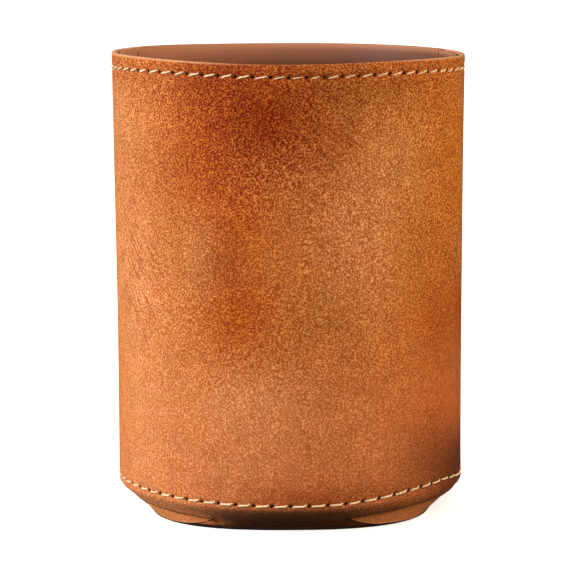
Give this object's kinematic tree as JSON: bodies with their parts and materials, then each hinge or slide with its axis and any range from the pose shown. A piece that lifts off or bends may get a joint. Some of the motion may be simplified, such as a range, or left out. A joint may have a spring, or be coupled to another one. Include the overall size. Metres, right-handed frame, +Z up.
{
  "type": "leather dice cup",
  "caption": "Round leather cup for shaking and throwing dice, with a lined board wall, stitched rim and foot, felt floor and flat sole.",
  "frame": {"origin": "centre of the sole's underside, where the cup stands on the table", "axes": "+Z up along the cup's axis, -Y towards the front, +Y towards the back seam"},
  "size_m": [0.0818, 0.0818, 0.1045],
  "materials": {
    "tan_leather": "matte nubuck grain",
    "lining_leather": "smooth satin",
    "foot_leather": "matte nubuck grain",
    "sole_leather": "dyed edge, matte",
    "fibre_board": "matte",
    "felt": "wool felt",
    "thread": "waxed twisted thread"
  },
  "bodies": {
    "root": {"outer_wrap": "tan_leather", "stiffener_tube": "fibre_board", "seam_backing_strip": "foot_leather", "lining_back": "lining_leather", "lining_front": "lining_leather", "base_dish": "foot_leather", "base_board": "fibre_board", "floor_pad": "felt", "sole": "sole_leather", "rim_needle_thread": "thread", "rim_bobbin_thread": "thread", "base_needle_thread": "thread", "base_bobbin_thread": "thread", "back_seam_thread": "thread"}
  },
  "joints": []
}
